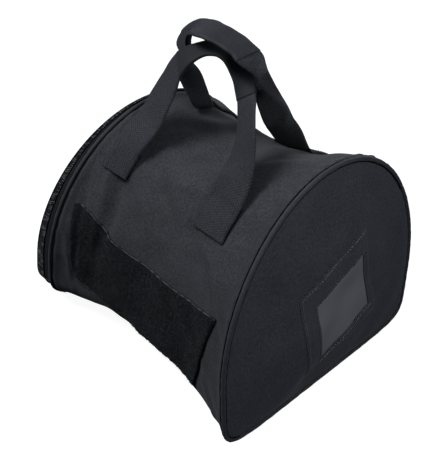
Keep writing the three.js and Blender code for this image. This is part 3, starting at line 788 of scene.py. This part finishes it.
def strap_sections(frames, margin=0.0, puff=0.0):
    inner, middle, outer, _ = frames
    to_inner, to_outer, inner_face, outer_face = strap_ways(frames)
    x, y = strap_ring(puff)
    grow = (margin + ripples(middle, STRAP_RIPPLES))[:, None]
    inner_reach = inner - middle + to_inner * grow
    outer_reach = outer - middle + to_outer * grow
    across = x[:, None]
    out = np.where(across < 0, -across * inner_reach[:, None], across * outer_reach[:, None])
    share = (np.clip(across / CREASE_SOFT, -1, 1) + 1) / 2
    face = unit(inner_face[:, None] * (1 - share) + outer_face[:, None] * share)
    return middle[:, None] + out + face * ((STRAP_THICK / 2 + margin) * y)[None, :, None]


def strap_length(handle):
    return run_lengths(handle_frames(handle, 0, last_row(handle), 12)[1])[-1]


def strap(name, handle):
    frames = handle_frames(handle, 0, last_row(handle), 20)
    return tube(name, strap_sections(frames), "webbing")


# Margin and puff of a wrap's outer and inner face, and its edges and length in the weave
WRAP_OUTSIDE, WRAP_INSIDE, WRAP_EDGE, WRAP_WEAVE = (0.42, 0.15), (0.12, 0.1), 3, 100


def grip_wrap(name, handle, finish):
    first, last = handle["grip"]
    frames = handle_frames(handle, first, last, 30)
    outside = strap_sections(frames, *WRAP_OUTSIDE)
    inside = strap_sections(frames, *WRAP_INSIDE)
    wide = np.linalg.norm(frames[2] - frames[0], axis=-1).mean()
    around = np.linspace(0, 2 * (wide + WRAP_EDGE), outside.shape[1] + 1)
    along = np.linspace(0, WRAP_WEAVE, len(outside))
    uv = np.stack(np.meshgrid(around, along), -1)
    return cloth(name, outside, inside, uv, finish, ring=True)


# Front panel: its flat size, and how softly its edges bend, in steps of 400
PANEL_LONG, PANEL_HIGH, PANEL_SOFT = 192.0, 82.0, 20
# Its height at the edge, rise within, width of that rise, height of its back, and fuzz
PAD_EDGE, PAD_RISE, PAD_ROUND, PAD_BACK = 0.5, 2.0, 0.9, 0.15
FUZZ_RIPPLES = [(0.14, 5, 14, 41), (0.1, 2.6, 14, 42)]


def panel_place(across, down):
    reach = np.linspace(0, 1, 400)
    window = np.ones(2 * PANEL_SOFT + 1) / (2 * PANEL_SOFT + 1)
    edges = []
    for edge in (PANEL_TOP, PANEL_FOOT):
        x, z = np.array(edge, float).T
        heights = np.interp(reach, (x - x[0]) / (x[-1] - x[0]), z)
        smooth = np.convolve(np.pad(heights, PANEL_SOFT, "edge"), window, "valid")
        edges.append((x[0] + across * (x[-1] - x[0]), np.interp(across, reach, smooth)))
    x, z = (top * (1 - down) + foot * down for top, foot in zip(*edges))
    t = front_angle(x, z)
    along = along_at(x, t)
    return dressed_body(along, t), body_normal(along, t)


def panel_rise(across, down):
    edge = np.minimum(np.minimum(across, 1 - across) * PANEL_LONG, np.minimum(down, 1 - down) * PANEL_HIGH)
    return PAD_EDGE + PAD_RISE * (1 - np.exp(-edge / PAD_ROUND))


def loop_pad():
    across, down = np.meshgrid(np.linspace(0, 1, 190), np.linspace(0, 1, 90))
    base, normal = panel_place(across, down)
    outer = base + normal * (panel_rise(across, down) + ripples(base, FUZZ_RIPPLES))[..., None]
    inner = base + normal * PAD_BACK
    uv = np.stack([across * PANEL_LONG, down * PANEL_HIGH], -1)
    return cloth("loop_pad", outer, inner, uv, "loop_pile")


# One loop of pile: half width, height, radius of its yarn and depth of its root
LOOP_HALF, LOOP_HIGH, LOOP_YARN, LOOP_ROOT = 0.62, 0.75, 0.11, 0.3


def loop_fibres(name, count, seed, finish):
    draw = np.random.default_rng(seed)
    across, down = draw.uniform(0.006, 0.994, count), draw.uniform(0.012, 0.988, count)
    base, out = panel_place(across, down)
    normal = unit(out + draw.normal(0, 0.25, (count, 3)))
    side = unit(np.cross(normal, draw.normal(size=(count, 3))))
    origins = base + out * (panel_rise(across, down) - LOOP_ROOT)[:, None]
    size = draw.uniform(0.75, 1.25, count)[:, None, None]
    axes = np.stack([side, np.cross(normal, side), normal], 1) * size
    ring = ring_turns(3)
    wide, high = (size + LOOP_YARN * np.cos(ring) for size in (LOOP_HALF, LOOP_HIGH))
    bow = [
        np.stack([wide * np.cos(a), LOOP_YARN * np.sin(ring), high * np.sin(a)], -1)
        for a in np.linspace(-0.25, np.pi + 0.25, 6)
    ]
    return copies(name, tube_parts(np.array(bow)), origins, axes, finish)


def cord_parts(path, radius):
    tangent = unit(np.gradient(path, axis=0))
    side = unit(np.cross(tangent, [0.3, 0.2, 1.0]))
    return tube_parts(cord_rings(path, side, np.cross(tangent, side), radius, 8))


# Pale edges of the panel: start and run across, start and run down, lift and seed
PANEL_EDGES = [
    (0.004, 0.992, 0.004, 0, 1.9, 51),
    (0.003, 0, 0.62, 0.36, 1.6, 52),
    (0.004, 0.3, 0.995, 0, 1.5, 53),
]
EDGE_RADIUS, EDGE_VARIES, EDGE_LIMITS = 0.36, (0.2, 6, 8), (0.08, 0.65)


def panel_edges():
    run = np.linspace(0, 1, 260)
    parts = []
    for across, across_run, down, down_run, lift, seed in PANEL_EDGES:
        base, out = panel_place(across + across_run * run, down + down_run * run)
        path = base + out * lift
        radius = np.clip(EDGE_RADIUS + ripples(path, [(*EDGE_VARIES, seed)]), *EDGE_LIMITS)
        parts.append(cord_parts(path, radius))
    return join_parts("panel_edge", parts, "panel_edge")


# Pocket on the right end: place in a patch between four corners
def patch(corners, across, down):
    places = []
    for top_left, top_right, foot_right, foot_left in zip(*corners):
        top = top_left * (1 - across) + top_right * across
        foot = foot_left * (1 - across) + foot_right * across
        places.append(top * (1 - down) + foot * down)
    return places


def pocket_point(u, v, lift):
    return end_point(RIGHT_RIM, RIGHT_CLOTH, u, v, lift + 0 * u)


# Pocket's border: shares of the way from its edge to the window, and heights
POCKET_PROFILE = [
    (0, 0.45), (0.015, 0.55), (0.05, 0.68), (0.1, 0.8), (0.2, 1.0), (0.35, 1.2), (0.5, 1.3), (0.65, 1.35),
    (0.8, 1.5), (0.9, 1.7), (0.95, 1.75), (0.985, 1.5), (1.0, 0.9),
]
POCKET_BACK, WINDOW_FACE, WINDOW_BACK = 0.25, 1.0, 0.3


def pocket_border():
    edge = np.arange(110) / 110
    one, nil = np.ones(110), np.zeros(110)
    across = np.concatenate([edge, one, 1 - edge, nil])
    down = np.concatenate([nil, edge, one, 1 - edge])
    reach, height = np.array(POCKET_PROFILE).T[..., None]
    edges = zip(patch(POCKET, across, down), patch(WINDOW, across, down))
    u, v = (outer + (inner - outer) * reach for outer, inner in edges)
    uv = np.stack([u, v], -1)
    uv = np.concatenate([uv, uv[:, :1]], 1)
    face, back = pocket_point(u, v, height), pocket_point(u, v, POCKET_BACK)
    return cloth("pocket_border", face, back, uv, "pocket_cloth", ring=True)


def pocket_window():
    across, down = np.meshgrid(np.linspace(0.004, 0.996, 50), np.linspace(0.004, 0.996, 50))
    u, v = patch(WINDOW, across, down)
    face, back = pocket_point(u, v, WINDOW_FACE), pocket_point(u, v, WINDOW_BACK)
    return cloth("pocket_window", face, back, np.stack([u, v], -1), "window_pvc")


# Stitches: pitch, step that gives their direction, and lengths; on a strap, start in rows, inset, radius
# and lift; then where sewn ends stop, in rows, and the shade lines under them
STITCH_PITCH, STITCH_STEP, POCKET_STITCH, STRAP_STITCH = 3.0, 0.2, 2.4, 2.2
STITCH_START, STITCH_INSET, STITCH_RADIUS, STITCH_LIFT = 0.12, 4.0, 0.22, 0.05
SEWN_STOP, SHADE_OUT, SHADE_SINK, SHADE_RADIUS = 0.7, 0.35, 0.2, 0.5


# Stitches at equal steps along paths, each path with its outward directions
def stitches(name, runs, length, radius, finish):
    def between(places, known, rows):
        return np.stack([np.interp(places, known, rows[:, k]) for k in range(3)], -1)

    origins, axes = [], []
    for path, out in runs:
        run = run_lengths(path)
        count = max(int(run[-1] / STITCH_PITCH), 1)
        places = (np.arange(count) + 0.5) * run[-1] / count
        tangent = unit(between(places + STITCH_STEP, run, path) - between(places - STITCH_STEP, run, path))
        normal = unit(between(places / run[-1], np.linspace(0, 1, len(out)), out))
        side = unit(np.cross(normal, tangent))
        origins.extend(between(places, run, path))
        axes.extend(np.stack([tangent * length, side * radius, normal * radius], 1))
    return copies(name, rod_shape(0.8, 5), origins, axes, finish)


def patch_run(corners, across, down, across_end, down_end, lift):
    u, v = patch(corners, np.linspace(across, across_end, 120), np.linspace(down, down_end, 120))
    path = pocket_point(u, v, lift)
    return path, pocket_point(u, v, lift + 1) - path


# Rows of stitches on the pocket: patch, both ends as shares across and down it, and height
BORDER_LIFT, HEM_LIFT = 1.05, 1.75
# Painted highlight: these rows get the pale thread as glints, the other rows the dim one
GLINT_POCKET_RUNS = [
    (POCKET, 0.02, 0.03, 0.98, 0.03, BORDER_LIFT),
    (POCKET, 0.03, 0.03, 0.03, 0.97, BORDER_LIFT),
    (WINDOW, -0.05, 1.05, 1.05, 1.05, HEM_LIFT),
]
DIM_POCKET_RUNS = [
    (POCKET, 0.97, 0.03, 0.97, 0.97, BORDER_LIFT),
    (POCKET, 0.03, 0.97, 0.97, 0.97, BORDER_LIFT),
    (WINDOW, -0.05, -0.05, -0.05, 1.05, HEM_LIFT),
    (WINDOW, 1.05, -0.05, 1.05, 1.05, HEM_LIFT),
    (WINDOW, -0.05, -0.05, 1.05, -0.05, HEM_LIFT),
]


def pocket_stitches(name, runs, radius, finish):
    return stitches(name, [patch_run(*run) for run in runs], POCKET_STITCH, radius, finish)


# Each sewn strap end up to where it leaves the sleeve: its edges, middle and ways across and out
def sewn_ends(from_end):
    for handle in (FRONT_HANDLE, BACK_HANDLE):
        last = last_row(handle)
        left, right = len(handle["sewn_left"]), len(handle["sewn_right"])
        for first, end in ((from_end, left - SEWN_STOP), (last - from_end, last - right + SEWN_STOP)):
            frames = handle_frames(handle, first, end, 30)
            inner, middle, outer, _ = frames
            _, across, _, face = strap_ways(frames)
            side = np.sum(face * (middle - [0, 0, WAIST["centre"]]), axis=-1, keepdims=True)
            yield inner, middle, outer, across, face * np.sign(side)


def strap_stitches():
    runs = []
    for inner, middle, outer, across, out in sewn_ends(STITCH_START):
        top = middle + out * (STRAP_THICK / 2 + STITCH_LIFT)
        half = np.linalg.norm(outer - inner, axis=-1)[:, None] / 2 - STITCH_INSET
        for side in (-1, 1):
            runs.append((top + across * half * side, out))
        for k in (0, -1):
            run = np.linspace(-half[k], half[k], 30)
            runs.append((top[k] + across[k] * run, np.repeat(out[k][None], 30, 0)))
    return stitches("strap_stitches", runs, STRAP_STITCH, STITCH_RADIUS, "thread")


# Shade lines under the end and the edges of each sewn strap end
def strap_shade():
    parts = []
    for inner, middle, outer, across, out in sewn_ends(0):
        under = -out * (STRAP_THICK / 2 - SHADE_SINK)
        edge = across[0] * np.linspace(-1, 1, 40)[:, None] * np.linalg.norm(outer[0] - inner[0]) / 2
        beyond = unit(middle[0] - middle[1]) * SHADE_OUT
        aside = across * SHADE_OUT
        for path in (middle[0] + under[0] + beyond + edge, outer + aside + under, inner - aside + under):
            parts.append(cord_parts(path, SHADE_RADIUS))
    return join_parts("strap_shade", parts, "seam_shade")


# Make every piece
keep(body_cloth(), "body_cloth", "body_shell")
keep(end_cloth("end_cloth_right", RIGHT_RIM, RIGHT_CLOTH), "end_cloth", "end_panel_right")
keep(end_cloth("end_cloth_left", DOOR_RIM, DOOR_CLOTH), "end_cloth", "end_panel_left")
keep(piping("piping_cord_right", RIGHT_RIM), "piping", "piping_right")
keep(piping("piping_cord_left", LEFT_RIM), "piping", "piping_left")
# Painted shade: dark tubes in the grooves beside the piping cords and along the zip's teeth
for groove_shade in (
    ("groove_shade_right_body", RIGHT_RIM, -2.5, -0.75),
    ("groove_shade_right_end", RIGHT_RIM, 0.9, 2.1, 40.0, 232.0),
    ("groove_shade_left_body", LEFT_RIM, -2.4, -0.6),
    ("groove_shade_left_zip", LEFT_RIM, 2.5, -0.2),
    ("groove_shade_zip_teeth", ZIP_SEAM_RIM, 0.0, -0.25),
):
    keep(groove_shade_line(*groove_shade), "piping")
for strip, start, end, thick, depth, *nodes in (
    ("zip_tape_inner", 0.13, 0.47, 1.4, 0.0, "zip_tape_body"),
    ("zip_tape_outer", 0.935, 1.0, 1.4, 0.0, "zip_tape_door"),
    ("zip_bed", 0.46, 0.95, 2.2, 1.3),
):
    tape = zip_strip(strip, start, end, ZIP_BACK_DEG, ZIP_FRONT_DEG, thick, "zip_tape", depth)
    keep(tape, "zip_tape", *nodes)
keep(zip_teeth("zip_teeth", "zip_coil", False), "zip_coil", "zip_coil")
keep(zip_teeth("zip_painted_glints", "zip_painted_glint", True), "zip_coil")
gusset_ends = (ZIP_FRONT_DEG + GUSSET_GAP_DEG, 360 + ZIP_BACK_DEG - GUSSET_GAP_DEG)
keep(zip_strip("gusset_cloth", 0.1, 1.0, *gusset_ends, 1.6, "body_cloth"), "body_cloth", "zip_gusset")
keep(slider(), "slider_metal", "zip_slider")
keep(strap("strap_front", FRONT_HANDLE), "webbing", "handle_front")
keep(strap("strap_back", BACK_HANDLE), "webbing", "handle_back")
keep(grip_wrap("grip_wrap_front", FRONT_HANDLE, "wrap_cloth_front_shaded"), "wrap_cloth", "handle_front_sleeve")
keep(grip_wrap("grip_wrap_back", BACK_HANDLE, "wrap_cloth_back_lit"), "wrap_cloth", "handle_back_sleeve")
keep(loop_pad(), "loop_pile", "loop_panel")
keep(loop_fibres("loop_fibres", 4500, 43, "loop_pile"), "loop_pile")
keep(loop_fibres("loop_tufts", 2600, 44, "loop_tuft"), "loop_pile")
keep(panel_edges(), "loop_pile")
keep(pocket_border(), "pocket_cloth", "id_pocket_frame")
keep(pocket_window(), "window_pvc", "id_window")
keep(pocket_stitches("pocket_stitches", GLINT_POCKET_RUNS, 0.25, "thread_painted_glint"), "pocket_cloth")
keep(pocket_stitches("pocket_stitches_dim", DIM_POCKET_RUNS, 0.2, "dim_thread"), "pocket_cloth")
keep(strap_stitches(), "webbing")
keep(strap_shade(), "webbing")


# Length of each strap, worked out and not kept
strap_length(FRONT_HANDLE)
strap_length(BACK_HANDLE)


# Floor, light and camera
GROUND_GLOW, FLOOR_SIZE, FLOOR_DROP = 0.93, 9, 0.0002
BACKDROP = {"vertices": 64, "radius": 4.4, "depth": 8, "end_fill_type": "NOTHING"}
# World, brighter from below to above, and lamps by place, size and power
SKY_COLOR = (0.68, 0.86, 1.2, 1)
SKY = {"From Min": -0.5, "From Max": 0.7, "To Min": 0.025, "To Max": 0.08}
LIGHTS = [
    ("key", (-0.54, -0.58, 1.22), 0.62, 13.0),
    ("fill", (0.62, -0.1, 0.6), 0.3, 2.1),
    ("front", (-0.75, -1.0, 0.4), 0.8, 0.75),
    ("back", (-0.35, 1.2, 0.6), 0.9, 1.6),
]
LIGHT_TARGET = (0, 0, 0.12)
SENSOR_WIDTH, CAMERA_LENS, CAMERA_PLACE = 36, 54.14, (0.4117, -0.38375, 0.4677)
CAMERA_WAY = (-0.6053, 0.5751, -0.5503)


def stage_piece(name):
    obj = bpy.context.object
    obj.name = name
    obj.data.materials.append(MATERIALS["floor_white"])
    for ray in ("diffuse", "glossy", "shadow"):
        setattr(obj, "visible_" + ray, False)
    obj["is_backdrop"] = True


def aim(name, data, place, way):
    obj = bpy.data.objects.new(name, data)
    obj.location = place
    obj.rotation_euler = Vector(way).to_track_quat("-Z", "Y").to_euler()
    bpy.context.collection.objects.link(obj)
    return obj


def studio():
    glow = {"Emission_Color": (1, 1, 1, 1), "Emission_Strength": GROUND_GLOW}
    node_material("floor_white", (0.3, 0.3, 0.3), 0.9, **glow)
    bpy.ops.mesh.primitive_plane_add(size=FLOOR_SIZE, location=(0, 0, -FLOOR_DROP))
    stage_piece("floor")
    bpy.ops.mesh.primitive_cylinder_add(**BACKDROP)
    stage_piece("backdrop")
    world = bpy.data.worlds.new("studio")
    world.use_nodes = True
    nodes = Nodes(world.node_tree)
    background = world.node_tree.nodes["Background"]
    ramp = nodes.add("ShaderNodeMapRange")
    for socket, value in SKY.items():
        ramp.inputs[socket].default_value = value
    nodes.link(nodes.split("Generated")[2], ramp.inputs["Value"])
    nodes.link(ramp.outputs[0], background.inputs["Strength"])
    background.inputs["Color"].default_value = SKY_COLOR
    bpy.context.scene.world = world
    for name, place, size, power in LIGHTS:
        light = bpy.data.lights.new(name, "AREA")
        light.shape = "DISK"
        light.size = size
        light.energy = power
        aim(name, light, place, Vector(LIGHT_TARGET) - Vector(place))


def camera():
    data = bpy.data.cameras.new("camera")
    data.sensor_width = SENSOR_WIDTH
    data.lens = CAMERA_LENS
    data.clip_start = 0.01
    bpy.context.scene.camera = aim("camera", data, CAMERA_PLACE, CAMERA_WAY)


studio()
camera()
bpy.context.scene.view_settings.view_transform = "Standard"

[[list(map(float, corner)) for corner in box] for box in (cad_box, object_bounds())]
